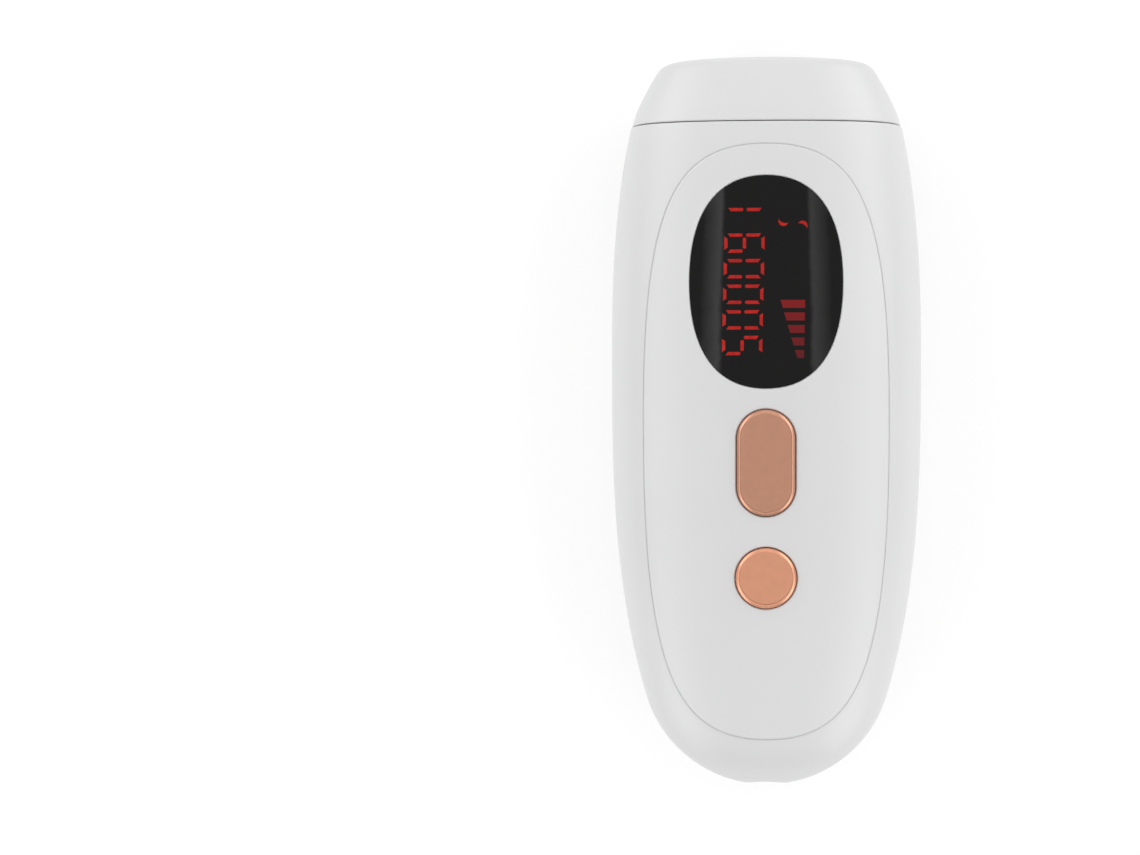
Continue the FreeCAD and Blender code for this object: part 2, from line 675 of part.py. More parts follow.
def fan_blade(turn):
    """One twisted blade: a ruled sheet between the hub and the tip, thickened along Z."""
    z0, z1 = FAN_Z + 1.0, FAN_Z + 7.3
    root, tip = FAN_HUB - 0.4, FAN_BORE - 0.7
    corners = []
    for radius, spread in ((root, 24.0), (tip, 17.0)):
        low, high = math.radians(-spread), math.radians(spread)
        start = Vector(radius * math.cos(low), radius * math.sin(low), z0)
        end = Vector(radius * math.cos(high), radius * math.sin(high), z1)
        corners.append((start, end))
    inner = Part.LineSegment(*corners[0]).toShape()
    outer = Part.LineSegment(*corners[1]).toShape()
    blade = Part.makeRuledSurface(inner, outer).extrude(Vector(0, 0, 1.0))
    blade.rotate(Vector(0, 0, 0), UP, turn)
    return blade


def fan_rotor():
    """Hub cup, blades and the shaft's boss."""
    hub = post(0, 0, FAN_HUB, FAN_Z + 0.6, FAN_Z + FAN_THICK - 1.7)
    hub = hub.cut(post(0, 0, FAN_HUB - 1.2, FAN_Z + 2.0, FAN_Z + FAN_THICK))
    shaft = post(0, 0, 1.0, FAN_Z + 1.5, FAN_Z + FAN_THICK - 1.7)
    keep = post(0, 0, FAN_BORE - 0.6, FAN_Z, FAN_Z + FAN_THICK)
    blades = [fan_blade(360.0 * i / FAN_BLADES).common(keep) for i in range(FAN_BLADES)]
    rotor = union([hub, shaft] + blades)
    rotor.translate(Vector(0, FAN_Y, 0))
    return rotor


def fan_motor():
    """The wound stator and its bearing tube, which stand on the frame's motor plate inside the hub."""
    top = FAN_Z + FAN_THICK - 1.2
    tube = post(0, FAN_Y, 2.2, FAN_Z + 2.6, top)
    coils = []
    for turn in (0, 90, 180, 270):
        arm = block((1.5, 6.6), (-1.8, 1.8), (FAN_Z + 3.2, top - 0.6))
        arm.rotate(Vector(0, 0, 0), UP, turn)
        arm.translate(Vector(0, FAN_Y, 0))
        coils.append(arm)
    return union([tube] + coils).cut(post(0, FAN_Y, 1.15, FAN_Z, top + 1))


def fan_leads():
    """Two wires from the fan's motor plate corner to the main board."""
    wires = []
    for x in (-14.5, -13.0):
        route = [(x, 15.5, 12.5), (x, 12.3, 12.5), (x, 12.3, BOARD_TOP)]
        wires.append(bent_wire(route, 0.5, 0.7))
    return Part.makeCompound(wires)


# ---------------------------------------------------------------- lamp dock in the body's mouth
def plug_ring(grow, wall, y0, y1):
    """A rounded tube along Y, grow larger than the plug's outline."""
    outside = tuple(h + grow for h in PLUG_HALF)
    inside = tuple(h + grow - wall for h in PLUG_HALF)
    return squircle(outside, y0, y1).cut(squircle(inside, y0 - 1, y1 + 1))


def lamp_dock():
    """The cup that the head's plug slides into, with a flange that closes the body's mouth."""
    mouth = SEAM - HALF_LENGTH - 0.3
    grow = PLUG_CLEARANCE + PLUG_WALL
    cup = plug_ring(grow, PLUG_WALL, DOCK_BACK, mouth)
    back = squircle(tuple(h + grow for h in PLUG_HALF), DOCK_BACK, DOCK_BACK + 2.0)
    flange = block((-FAR, FAR), (mouth - 2.2, mouth), FULL_HEIGHT).common(body_envelope(WALL + 0.1))
    flange = flange.cut(squircle(tuple(h + PLUG_CLEARANCE for h in PLUG_HALF), DOCK_BACK, mouth + 1))
    duct = block((-13, 13), (DOCK_BACK - 1, DOCK_BACK + 3), (13, 24))
    sockets = [rod(2.0, (x, DOCK_BACK - 1, CONTACT_Z), (x, DOCK_BACK + 3, CONTACT_Z)) for x in CONTACTS_X]
    screws = [rod(1.3, (x, DOCK_BACK - 1, 18.0), (x, DOCK_BACK + 3, 18.0)) for x in (-19.0, 19.0)]
    return union([cup, back, flange]).cut([duct] + sockets + screws)


def dock_contacts():
    """Brass sleeves in the dock's back wall."""
    sleeves = []
    for x in CONTACTS_X:
        sleeve = rod(2.0, (x, DOCK_BACK - 3.5, CONTACT_Z), (x, DOCK_BACK + 2.0, CONTACT_Z))
        sleeves.append(sleeve.cut(rod(1.15, (x, DOCK_BACK - 2.6, CONTACT_Z), (x, DOCK_BACK + 4, CONTACT_Z))))
    return Part.makeCompound(sleeves)


def air_duct():
    """A short hood that leads the fan's air to the dock."""
    hood = block((-13, 13), (48.5, DOCK_BACK - 0.1), (FAN_Z + FAN_THICK + 0.1, 25.5))
    inside = block((-11.8, 11.8), (47.0, DOCK_BACK + 1), (FAN_Z + FAN_THICK - 1, 24.3))
    return hood.cut(inside)


def lamp_cables():
    """Three silicone cables from the terminal block to the dock's contacts."""
    cables = []
    for start, end in zip(TERMINALS_X, CONTACTS_X):
        route = [(start, 13.3, BOARD_TOP + 6), (start, 20.0, BOARD_TOP + 6.6)]
        route += [(end, 40.0, CONTACT_Z), (end, DOCK_BACK - 3.5, CONTACT_Z)]
        cables.append(bent_wire(route, 1.1, 9.0))
    return Part.makeCompound(cables)


# ---------------------------------------------------------------- lamp head
def head_inside(skin):
    """The space inside the head, with its far edge rounded."""
    inside = head_envelope(skin).common(block((-FAR, FAR), (0, HEAD_END_INSIDE), FULL_HEIGHT))
    rim = [e for e in inside.Edges if e.BoundBox.YMin > HEAD_END_INSIDE - 1]
    return inside.makeFillet(HEAD_EDGE_RADIUS - WALL, rim)


def head_shell():
    outside = round_mouth(head_envelope(), SEAM + SEAM_GAP)
    dome = Part.makeCylinder(HEAD_DOME_RADIUS, 60, Vector(0, HALF_LENGTH - HEAD_DOME_RADIUS, 0))
    outside = outside.common(dome)
    rim = [e for e in outside.Edges if e.BoundBox.YMin > HALF_LENGTH - 6]
    outside = outside.makeFillet(HEAD_EDGE_RADIUS, rim)
    window = block(
        (-BEZEL_HALF[0] - 0.15, BEZEL_HALF[0] + 0.15),
        (HEAD_END_INSIDE - 4, HALF_LENGTH + 5),
        (WINDOW_Z - BEZEL_HALF[1] - 0.15, WINDOW_Z + BEZEL_HALF[1] + 0.15),
    )
    return outside.cut([head_inside(WALL), window])


def head_base():
    """A plate across the back of the head, with the plug that slides into the dock."""
    plate = block((-FAR, FAR), HEAD_BASE, FULL_HEIGHT).common(head_envelope(WALL + 0.1))
    plug = plug_ring(0, PLUG_WALL, HEAD_BASE[0] - PLUG_DEPTH, HEAD_BASE[0])
    air = block((-17, 17), (HEAD_BASE[0] - 1, HEAD_BASE[1] + 1), (13, 24))
    holes = [rod(1.0, (x, HEAD_BASE[0] - 1, CONTACT_Z), (x, HEAD_BASE[1] + 1, CONTACT_Z)) for x in CONTACTS_X]
    return plate.fuse(plug).cut([air] + holes)


def contact_block():
    """The insulator that carries the head's contact pins."""
    y = (HEAD_BASE[0] - 3.2, HEAD_BASE[0])
    body = block((-16.5, 16.5), y, (26.6, 31.0))
    return body.cut([rod(0.9, (x, y[0] - 1, CONTACT_Z), (x, y[1] + 1, CONTACT_Z)) for x in CONTACTS_X])


def head_contact_pins():
    pins = [rod(0.9, (x, DOCK_BACK + 0.2, CONTACT_Z), (x, HEAD_BASE[1], CONTACT_Z)) for x in CONTACTS_X]
    return Part.makeCompound(pins)


def reflector():
    """A polished half-oval trough along X with end plates that the lamp passes through."""
    depth = REFLECTOR[1] - REFLECTOR[0]
    ends = 19.0

    def trough(half_z, half_y, reach):
        ellipse = Part.Ellipse(Vector(0, 0, 0), max(half_y, half_z), min(half_y, half_z))
        face = Part.Face(Part.Wire(ellipse.toShape()))
        solid = face.extrude(Vector(0, 0, 2 * reach))
        turned = Rotation(Vector(0, 1, 0), Vector(0, 0, 1), Vector(1, 0, 0), "XYZ")
        solid.Placement = FreeCAD.Placement(Vector(-reach, REFLECTOR[1], WINDOW_Z), turned)
        return solid

    outer = trough(7.6, depth, ends)
    inner = trough(7.0, depth - 0.6, ends - 0.6)
    behind = block((-ends, ends), (REFLECTOR[0] - 1, REFLECTOR[1]), FULL_HEIGHT)
    tube = rod(LAMP_RADIUS + 0.3, (-FAR, LAMP_Y, WINDOW_Z), (FAR, LAMP_Y, WINDOW_Z))
    return outer.cut(inner).common(behind).cut(tube)


def xenon_lamp():
    """The glass tube of the flash lamp."""
    a, b = (-LAMP_HALF, LAMP_Y, WINDOW_Z), (LAMP_HALF, LAMP_Y, WINDOW_Z)
    return rod(LAMP_RADIUS, a, b).cut(rod(LAMP_RADIUS - 0.75, (a[0] - 1, *a[1:]), (b[0] + 1, *b[1:])))


def lamp_electrodes():
    """A stepped metal seal in each end of the tube."""
    rods = []
    for side in (-1, 1):
        seal = rod(LAMP_RADIUS - 0.8, (side * 17.5, LAMP_Y, WINDOW_Z), (side * LAMP_HALF, LAMP_Y, WINDOW_Z))
        pin = rod(0.8, (side * (LAMP_HALF - 0.5), LAMP_Y, WINDOW_Z), (side * 24.0, LAMP_Y, WINDOW_Z))
        rods.append(seal.fuse(pin))
    return Part.makeCompound(rods)


def lamp_holders():
    """Ceramic blocks on the base plate that carry the ends of the lamp."""
    blocks = []
    for side in (-1, 1):
        x = sorted((side * 19.6, side * 22.9))
        holder = block(x, (HEAD_BASE[1], CARRIER_BACK - 0.1), (WINDOW_Z - 6, WINDOW_Z + 6))
        blocks.append(holder.cut(rod(LAMP_RADIUS + 0.05, (-FAR, LAMP_Y, WINDOW_Z), (FAR, LAMP_Y, WINDOW_Z))))
    return Part.makeCompound(blocks)


def lamp_terminals():
    """Brass tabs from the lamp's pins to the base plate."""
    tabs = []
    for side in (-1, 1):
        x = sorted((side * 24.0, side * 24.7))
        tabs.append(block(x, (HEAD_BASE[1], 82.0), (WINDOW_Z - 1.5, WINDOW_Z + 1.5)))
    return Part.makeCompound(tabs)


def framed(half_out, half_in, y):
    """A rectangular ring round the window's axis."""

    def slab(half, grow=0.0):
        height = (WINDOW_Z - half[1], WINDOW_Z + half[1])
        return block((-half[0], half[0]), (y[0] - grow, y[1] + grow), height)

    return slab(half_out).cut(slab(half_in, 1.0))


def filter_frame():
    """The carrier that holds the filter glass in front of the reflector."""
    carrier = framed(CARRIER_HALF, (19.2, 8.2), (CARRIER_BACK, GLASS_Y[0]))
    rebate = framed(CARRIER_HALF, tuple(h + 0.1 for h in GLASS_HALF), (GLASS_Y[0], HEAD_END_INSIDE))
    return carrier.fuse(rebate).common(head_inside(WALL + 0.05))


def filter_glass():
    height = (WINDOW_Z - GLASS_HALF[1], WINDOW_Z + GLASS_HALF[1])
    return block((-GLASS_HALF[0], GLASS_HALF[0]), GLASS_Y, height)


def window_gasket():
    return framed(GLASS_HALF, WINDOW_HALF, (GLASS_Y[1], HEAD_END_INSIDE))


def window_bezel():
    """The flat frame round the lamp window, with chamfered inner and outer front edges."""
    frame = framed(BEZEL_HALF, WINDOW_HALF, (HEAD_END_INSIDE, BEZEL_FRONT))
    front = [e for e in frame.Edges if e.BoundBox.YMin > BEZEL_FRONT - 1e-3]
    frame = frame.makeChamfer(0.5, front)
    return frame.cut([rod(1.0, (x, 80, z), (x, 95, z)) for x, z in sensor_places()])


def sensor_places():
    across = (WINDOW_HALF[0] + BEZEL_HALF[0]) / 2
    high = (WINDOW_HALF[1] + BEZEL_HALF[1]) / 2
    return [(sx * across, WINDOW_Z + sz * high) for sx in (-1, 1) for sz in (-1, 1)]


def skin_sensors():
    """Four metal studs that sense contact with the skin."""
    studs = [rod(1.0, (x, HEAD_END_INSIDE, z), (x, BEZEL_FRONT + 0.15, z)) for x, z in sensor_places()]
    return Part.makeCompound(studs)


# ---------------------------------------------------------------- supply socket
def inlet_collar():
    """A ring let into the tail, which guides the plug."""
    y0 = -HALF_LENGTH
    ring = rod(COLLAR_RADIUS, (0, y0 + COLLAR_FACE, MID_Z), (0, y0 + JACK_FACE, MID_Z))
    return ring.cut(rod(COLLAR_BORE, (0, y0, MID_Z), (0, y0 + JACK_FACE + 1, MID_Z)))


def dc_jack():
    y0 = JACK_FACE - HALF_LENGTH
    height = (MID_Z - JACK_HALF[1], MID_Z + JACK_HALF[1])
    case = block((-JACK_HALF[0], JACK_HALF[0]), (y0, y0 + JACK_LENGTH), height)
    case = case.cut(rod(JACK_BORE, (0, y0 - 1, MID_Z), (0, y0 + JACK_DEPTH, MID_Z)))
    return case.cut(rod(JACK_PIN, (0, y0, MID_Z), (0, y0 + JACK_LENGTH + 1, MID_Z)))


def dc_jack_pin():
    y0 = JACK_FACE - HALF_LENGTH
    return rod(JACK_PIN, (0, y0 + 1.2, MID_Z), (0, y0 + JACK_LENGTH + 0.6, MID_Z))


def jack_leads():
    """The two supply wires from the socket down to the main board."""
    y0 = JACK_FACE + JACK_LENGTH - HALF_LENGTH
    wires = []
    for x in (-3.0, 3.0):
        route = [(x, y0, MID_Z), (x, y0 + 3.2, MID_Z), (x, y0 + 3.2, BOARD_TOP)]
        wires.append(bent_wire(route, 0.8, 2.2))
    return Part.makeCompound(wires)


# ---------------------------------------------------------------- all the nodes
NODES = {
    "front_shell": front_shell,
    "rear_shell": rear_shell,
    "housing_screws": housing_screws,
    "rating_label": rating_label,
    "display_lens": display_lens,
    "led_display": led_display,
    "ui_board": ui_board,
    "ui_board_screws": ui_board_screws,
    "ui_chip": ui_chip,
    "buzzer": buzzer,
    "flash_button": lambda: button_cap(FLASH),
    "flash_switch": lambda: switch_body(FLASH),
    "flash_switch_plunger": lambda: switch_plunger(FLASH),
    "power_button": lambda: button_cap(POWER),
    "power_switch": lambda: switch_body(POWER),
    "power_switch_plunger": lambda: switch_plunger(POWER),
    "main_board": main_board,
    "main_board_screws": lambda: small_screws(BOARD_POSTS, BOARD_TOP, 7.8),
    "flash_capacitors": flash_capacitors,
    "capacitor_leads": capacitor_leads,
    "transformer_core": transformer_core,
    "transformer_winding": transformer_winding,
    "power_heatsink": power_heatsink,
    "power_transistor": power_transistor,
    "trigger_coil": trigger_coil,
    "filter_capacitor": filter_capacitor,
    "controller_chip": controller_chip,
    "supply_fuse": supply_fuse,
    "lamp_terminal_block": lamp_terminal_block,
    "ribbon_connectors": ribbon_connectors,
    "ribbon_cable": ribbon_cable,
    "fan_frame": fan_frame,
    "fan_rotor": fan_rotor,
    "fan_motor": fan_motor,
    "fan_screws": lambda: small_screws(fan_corners(), FAN_Z + FAN_THICK, 3.4, 2.6, 1.15),
    "fan_leads": fan_leads,
    "air_duct": air_duct,
    "lamp_dock": lamp_dock,
    "dock_contacts": dock_contacts,
    "lamp_cables": lamp_cables,
    "head_shell": head_shell,
    "head_base": head_base,
    "contact_block": contact_block,
    "head_contact_pins": head_contact_pins,
    "reflector": reflector,
    "xenon_lamp": xenon_lamp,
    "lamp_electrodes": lamp_electrodes,
    "lamp_holders": lamp_holders,
    "lamp_terminals": lamp_terminals,
    "filter_frame": filter_frame,
    "filter_glass": filter_glass,
    "window_gasket": window_gasket,
    "window_bezel": window_bezel,
    "skin_sensors": skin_sensors,
    "inlet_collar": inlet_collar,
    "dc_jack": dc_jack,
    "dc_jack_pin": dc_jack_pin,
    "jack_leads": jack_leads,
}


def main():
    os.makedirs(OUT, exist_ok=True)
    for name, make in NODES.items():
        make().exportStep(f"{OUT}/{name}.step")


main()
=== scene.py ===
"""Looks of the hand-held IPL hair remover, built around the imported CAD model.

The device lies on its back: +Z is up through the button face and +Y runs to the lamp window. Everything is
in metres. MM turns a size written in millimetres into metres.
"""

import math

import bpy
from mathutils import Matrix, Vector
from mathutils.bvhtree import BVHTree


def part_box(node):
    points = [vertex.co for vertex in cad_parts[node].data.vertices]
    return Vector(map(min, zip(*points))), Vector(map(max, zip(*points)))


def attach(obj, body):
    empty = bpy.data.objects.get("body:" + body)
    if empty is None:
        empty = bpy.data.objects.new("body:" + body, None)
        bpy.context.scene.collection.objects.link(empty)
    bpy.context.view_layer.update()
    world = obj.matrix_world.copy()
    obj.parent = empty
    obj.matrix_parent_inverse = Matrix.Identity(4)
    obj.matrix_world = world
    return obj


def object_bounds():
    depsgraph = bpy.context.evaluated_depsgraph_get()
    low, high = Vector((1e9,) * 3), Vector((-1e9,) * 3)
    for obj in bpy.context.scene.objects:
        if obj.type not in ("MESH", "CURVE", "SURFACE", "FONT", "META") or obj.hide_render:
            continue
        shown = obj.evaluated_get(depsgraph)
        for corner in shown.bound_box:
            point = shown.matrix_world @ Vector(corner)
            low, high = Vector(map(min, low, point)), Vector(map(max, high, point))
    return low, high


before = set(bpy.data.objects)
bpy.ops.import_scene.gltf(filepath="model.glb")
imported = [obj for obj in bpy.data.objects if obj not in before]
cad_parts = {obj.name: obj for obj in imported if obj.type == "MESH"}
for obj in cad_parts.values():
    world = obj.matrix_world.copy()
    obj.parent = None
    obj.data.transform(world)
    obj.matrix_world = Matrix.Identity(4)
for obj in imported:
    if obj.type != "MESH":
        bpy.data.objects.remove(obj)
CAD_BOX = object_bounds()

MM = 0.001

# ---------------------------------------------------------------- camera and light
VIEW_WIDTH = 285.0 * MM  # what the frame takes in, at the height of the device's widest line
WIDEST_Z = 22.0 * MM
CAMERA_DISTANCE = 0.8
CAMERA_Y = -1.0 * MM
AIM_LEFT = 49.1 * MM  # the camera hangs over the device and looks this far to its left
SENSOR = 36.0

# Brightness of the room, by how far a direction leans to -X or +X, and for the glow to -Y or +Y.
SOFT_BOXES = [
    (-1.0, 0.2), (-0.8, 1.6), (-0.6, 1.6), (-0.4, 0.25), (0.4, 0.25), (0.6, 1.8), (0.8, 1.8), (1.0, 0.2),
]
NARROW_STRIPS = [(-0.32, 0.0), (-0.2, 0.95), (-0.18, 0.0), (0.18, 0.0), (0.2, 0.75), (0.32, 0.0)]
END_GLOW = [(-1.0, 0.2), (-0.5, 0.8), (-0.2, 0.0), (0.2, 0.0), (0.4, 1.2), (0.6, 0.6), (1.0, 0.8)]
STRIP_BOW = 2.5  # how strongly the narrow strips curve inwards towards their ends
ROOM_BRIGHTEST = 2.5
FLOOR_SIZE = 100.0
FLOOR_GLOW = 0.63

# ---------------------------------------------------------------- display
LENS_LOW, LENS_HIGH = (Vector(corner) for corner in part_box("display_lens"))
LENS_MIDDLE = (LENS_LOW + LENS_HIGH) / 2
LENS_COLOUR = (0.0046, 0.0046, 0.0044)
LENS_IOR = 1.49
GRAPHIC_LIFT = 0.04 * MM  # how far the lit shapes stand off the lens
READING = "500091"  # from the socket end towards the lamp
LIT = {"5": "afgcd", "0": "abcdef", "9": "abcdfg", "1": "bc"}
DIGIT_PITCH = 6.22 * MM
DIGIT_WIDTH = 3.9 * MM  # between the middles of the two upright strokes
DIGIT_HEIGHT = 9.0 * MM
STROKE = 0.8 * MM
STROKE_LENGTH = 3.65 * MM
STROKE_BEVEL = 0.6 * MM
STROKE_TIP = 0.25 * MM
BLUNT_SHARE = 0.4  # how much of a stroke's thickness is left where its end is blunt
FIRST_DIGIT = Vector((-5.8 * MM, -15.5 * MM))  # from the lens's middle
DIGIT_DRIFT = 0.14 * MM  # sideways, from one digit to the next
BAR_COUNT = 5
BAR_TALL = 1.95 * MM
BAR_PITCH = 3.04 * MM
BAR_SLANT = 0.62 * MM
BARS_TOP = -4.45 * MM  # from the lens's middle, as are the bars' two ends
BARS_LEFT, BARS_LEFT_STEP = 3.5 * MM, 0.87 * MM
BARS_RIGHT, BARS_RIGHT_STEP = 9.45 * MM, -0.06 * MM
MOON_RADIUS = 1.2 * MM
MOON_HALF_TURN = math.radians(104)
MOON_FULLNESS = (1.0, 0.45)  # of the outer and the inner edge
# Each moon's place from the lens's middle, and the way that its thick middle points.
MOONS = {
    "crescent_left": (4.2 * MM, 14.7 * MM, math.radians(249)),
    "crescent_right": (8.85 * MM, 13.6 * MM, math.radians(62)),
}

# ---------------------------------------------------------------- buttons and label
BUTTON_FLANGE = 1.1 * MM  # the hidden lip around each button, under the casing
BUTTON_RIM = 1.0 * MM  # the polished edge around the satin top
# Both buttons wear the same rose gold. The power button's lighter colour is painted light, standing in for
# the brighter room that its tilted top reflects.
BUTTON_PAINT_AND_LIGHT = {"flash_button": (0.56, 0.28, 0.185), "power_button": (0.72, 0.335, 0.208)}
BORDER_INSET, BORDER_WIDTH = 1.0 * MM, 0.3 * MM  # the line printed on the label


# ---------------------------------------------------------------- node helpers
def new_material(name):
    material = bpy.data.materials.new(name)
    material.use_nodes = True
    tree = material.node_tree
    shader = tree.nodes["Principled BSDF"]
    return material, tree, shader


def add(tree, kind, **values):
    """A node with some of its properties or inputs set."""
    node = tree.nodes.new(kind)
    for key, value in values.items():
        if hasattr(node, key):
            setattr(node, key, value)
        else:
            node.inputs[key.replace("_", " ")].default_value = value
    return node


def math_node(tree, operation, first, second=None, clamp=False):
    node = tree.nodes.new("ShaderNodeMath")
    node.operation = operation
    node.use_clamp = clamp
    for socket, value in zip(node.inputs, (first, second)):
        if value is None:
            continue
        if isinstance(value, (int, float)):
            socket.default_value = value
        else:
            tree.links.new(value, socket)
    return node.outputs[0]


def place(tree):
    """The point on the object, in metres of the shared frame."""
    return add(tree, "ShaderNodeTexCoord").outputs["Object"]


def axes(tree, source=None):
    """The X, Y and Z of a vector, or of the point on the object."""
    split = add(tree, "ShaderNodeSeparateXYZ")
    tree.links.new(source or place(tree), split.inputs[0])
    return split.outputs


def noise(tree, scale, detail=2.0, roughness=0.5, source=None):
    node = add(tree, "ShaderNodeTexNoise", Scale=scale, Detail=detail, Roughness=roughness)
    tree.links.new(source or place(tree), node.inputs["Vector"])
    return node.outputs["Fac"]


def ramp(tree, factor, stops):
    """A colour ramp: stops are (position, colour)."""
    node = tree.nodes.new("ShaderNodeValToRGB")
    elements = node.color_ramp.elements
    while len(elements) < len(stops):
        elements.new(0.5)
    for element, (position, colour) in zip(elements, stops):
        element.position = position
        element.color = (*colour, 1.0)
    tree.links.new(factor, node.inputs["Fac"])
    return node.outputs["Color"]


def spread(tree, factor, low, high):
    """Maps a 0 to 1 value to a range."""
    node = add(tree, "ShaderNodeMapRange", To_Min=low, To_Max=high)
    tree.links.new(factor, node.inputs["Value"])
    return node.outputs["Result"]


def roughen(tree, shader, factor, low, high):
    """A roughness that varies a little over the surface."""
    tree.links.new(spread(tree, factor, low, high), shader.inputs["Roughness"])


def bump(tree, shader, height, depth, strength):
    node = add(tree, "ShaderNodeBump", Strength=strength, Distance=depth)
    tree.links.new(height, node.inputs["Height"])
    tree.links.new(node.outputs["Normal"], shader.inputs["Normal"])


def tint(colour, amount):
    return tuple(min(1.0, c * amount) for c in colour)


def mottled(tree, shader, colour, scale, change):
    """A base colour that varies a little over the surface."""
    stops = [(0.3, tint(colour, 1 - change)), (0.7, tint(colour, 1 + change))]
    tree.links.new(ramp(tree, noise(tree, scale, 3.0), stops), shader.inputs["Base Color"])


# ---------------------------------------------------------------- materials
def white_casing():
    """Moulded ABS with a fine satin texture and faint handling marks."""
    material, tree, shader = new_material("white_casing")
    mottled(tree, shader, (0.56, 0.56, 0.562), 35.0, 0.008)
    roughen(tree, shader, noise(tree, 60.0, 5.0, 0.65), 0.36, 0.44)
    grain = noise(tree, 9000.0, 2.0)
    bump(tree, shader, grain, 0.006 * MM, 0.5)
    shader.inputs["IOR"].default_value = 1.8
    return material


def smoked_lens():
    """Polished dark acrylic: a glossy skin over a near-black body."""
    material, tree, shader = new_material("smoked_lens")
    mottled(tree, shader, LENS_COLOUR, 25.0, 0.03)
    roughen(tree, shader, noise(tree, 90.0, 4.0, 0.7), 0.025, 0.06)
    shader.inputs["IOR"].default_value = LENS_IOR
    return material


def rose_gold(name, centre, straight, flat_radius, colour):
    """Satin metallic paint on the flat top, with a polished rim. For the power button the colour passed in
    is a lighter copy of the same rose gold, with painted light in it.
    """
    material, tree, shader = new_material(name)
    # colour is the rose gold, painted lighter for the power button as painted light
    mottled(tree, shader, colour, 500.0, 0.025)
    point = axes(tree)
    along = math_node(tree, "ABSOLUTE", math_node(tree, "SUBTRACT", point["Y"], centre.y))
    past = math_node(tree, "MAXIMUM", math_node(tree, "SUBTRACT", along, straight), 0.0)
    across = math_node(tree, "SUBTRACT", point["X"], centre.x)
    squares = [math_node(tree, "MULTIPLY", length, length) for length in (past, across)]
    distance = math_node(tree, "SQRT", math_node(tree, "ADD", *squares))
    beyond = math_node(tree, "SUBTRACT", distance, flat_radius)
    rim = math_node(tree, "DIVIDE", beyond, 0.05 * MM, clamp=True)
    flake = noise(tree, 4000.0, 3.0, 0.6)
    satin = spread(tree, flake, 0.36, 0.46)
    polish = math_node(tree, "MULTIPLY", rim, -0.27)
    tree.links.new(math_node(tree, "ADD", satin, polish), shader.inputs["Roughness"])
    shader.inputs["Metallic"].default_value = 0.7
    matt = math_node(tree, "SUBTRACT", 1.0, rim)
    bump(tree, shader, math_node(tree, "MULTIPLY", flake, matt), 0.004 * MM, 0.6)
    return material


def moulded(name, colour, roughness=0.5, grain_size=2500.0, grain_depth=0.015):
    """Plain moulded plastic with a fine spark-eroded texture."""
    material, tree, shader = new_material(name)
    mottled(tree, shader, colour, 60.0, 0.05)
    roughen(tree, shader, noise(tree, 180.0, 4.0, 0.6), roughness - 0.06, roughness + 0.08)
    bump(tree, shader, noise(tree, grain_size, 2.0), grain_depth * MM, 0.6)
    return material


def metal(name, colour, roughness, stretch=(1.0, 1.0, 1.0)):
    """Metal with a fine finish, brushed along one direction if stretched."""
    material, tree, shader = new_material(name)
    mapping = add(tree, "ShaderNodeMapping")
    mapping.inputs["Scale"].default_value = stretch
    tree.links.new(place(tree), mapping.inputs["Vector"])
    lines = noise(tree, 1500.0, 3.0, 0.6, mapping.outputs["Vector"])
    stops = [(0.3, tint(colour, 0.9)), (0.7, tint(colour, 1.05))]
    tree.links.new(ramp(tree, lines, stops), shader.inputs["Base Color"])
    roughen(tree, shader, lines, roughness - 0.06, roughness + 0.1)
    shader.inputs["Metallic"].default_value = 1.0
    bump(tree, shader, lines, 0.004 * MM, 0.5)
    return material


def circuit_board():
    """Green solder mask over copper tracks."""
    material, tree, shader = new_material("circuit_board")
    tracks = add(tree, "ShaderNodeTexBrick", Scale=120.0, Mortar_Size=0.09, Bias=-0.2)
    tree.links.new(place(tree), tracks.inputs["Vector"])
    stops = [(0.0, (0.010, 0.105, 0.040)), (0.5, (0.018, 0.160, 0.065)), (1.0, (0.012, 0.120, 0.048))]
    faint_tracks = math_node(tree, "MULTIPLY", tracks.outputs["Fac"], 0.6)
    mixed = math_node(tree, "ADD", faint_tracks, noise(tree, 300.0))
    tree.links.new(ramp(tree, mixed, stops), shader.inputs["Base Color"])
    roughen(tree, shader, noise(tree, 700.0), 0.22, 0.36)
    bump(tree, shader, tracks.outputs["Fac"], 0.03 * MM, 0.7)
    return material


def banded(name, colour, axis, pitch, roughness, metallic=0.0):
    """Turns of wire, tape or ribs that repeat along one axis."""
    material, tree, shader = new_material(name)
    scale = math.tau / 20.0 / pitch  # at a scale of 1 the node's bands are tau / 20 apart
    bands = add(tree, "ShaderNodeTexWave", bands_direction=axis, Scale=scale, Distortion=0.15)
    tree.links.new(place(tree), bands.inputs["Vector"])
    stops = [(0.0, tint(colour, 0.72)), (1.0, tint(colour, 1.08))]
    tree.links.new(ramp(tree, bands.outputs["Fac"], stops), shader.inputs["Base Color"])
    roughen(tree, shader, noise(tree, 400.0), roughness - 0.06, roughness + 0.1)
    shader.inputs["Metallic"].default_value = metallic
    bump(tree, shader, bands.outputs["Fac"], 0.12 * MM, 0.7)
    return material


def see_through(name, colour, roughness, ior):
    """Glass of a given tint with faint streaks."""
    material, tree, shader = new_material(name)
    mottled(tree, shader, colour, 400.0, 0.04)
    roughen(tree, shader, noise(tree, 250.0), roughness, roughness + 0.05)
    shader.inputs["Transmission Weight"].default_value = 1.0
    shader.inputs["IOR"].default_value = ior
    return material


